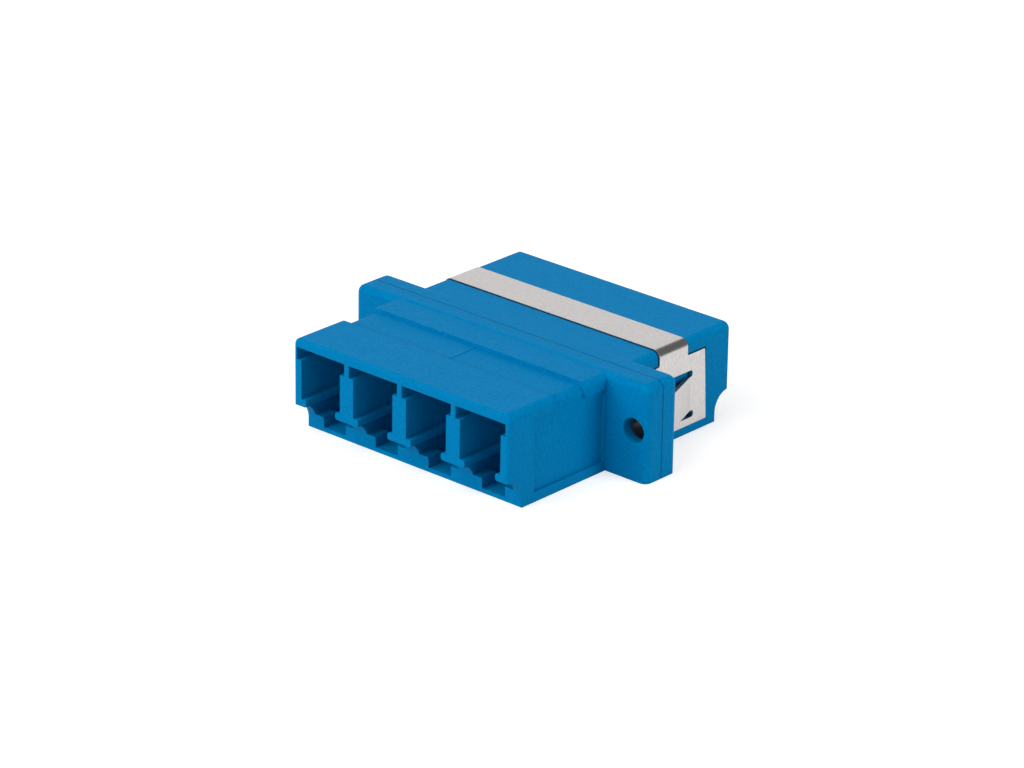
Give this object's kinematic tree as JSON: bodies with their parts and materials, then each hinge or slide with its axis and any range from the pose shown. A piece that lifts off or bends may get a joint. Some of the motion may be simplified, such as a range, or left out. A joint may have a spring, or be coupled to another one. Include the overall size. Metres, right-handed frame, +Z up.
{
  "type": "lc fibre adapter",
  "caption": "Panel adapter joining rows of LC fibre plugs end to end: a two-part flanged housing with split alignment sleeves, screw bushes and a folded spring clip.",
  "frame": {"origin": "middle of the underside, under the weld seam between the two halves of the flange", "axes": "+X across the four ports, +Y along the fibres towards the half with the clip, +Z up"},
  "size_m": [0.0344, 0.0292, 0.0091],
  "materials": {
    "housing_plastic": "satin moulded blue",
    "clip_steel": "fine brushed spring steel",
    "bush_metal": "plain turned metal",
    "sleeve_ceramic": "polished white ceramic"
  },
  "bodies": {
    "root": {"front_housing": "housing_plastic", "rear_housing": "housing_plastic", "spring_clip": "clip_steel", "flange_bush_left": "bush_metal", "flange_bush_right": "bush_metal", "ferrule_sleeve_1": "sleeve_ceramic", "ferrule_sleeve_2": "sleeve_ceramic", "ferrule_sleeve_3": "sleeve_ceramic", "ferrule_sleeve_4": "sleeve_ceramic"}
  },
  "joints": []
}
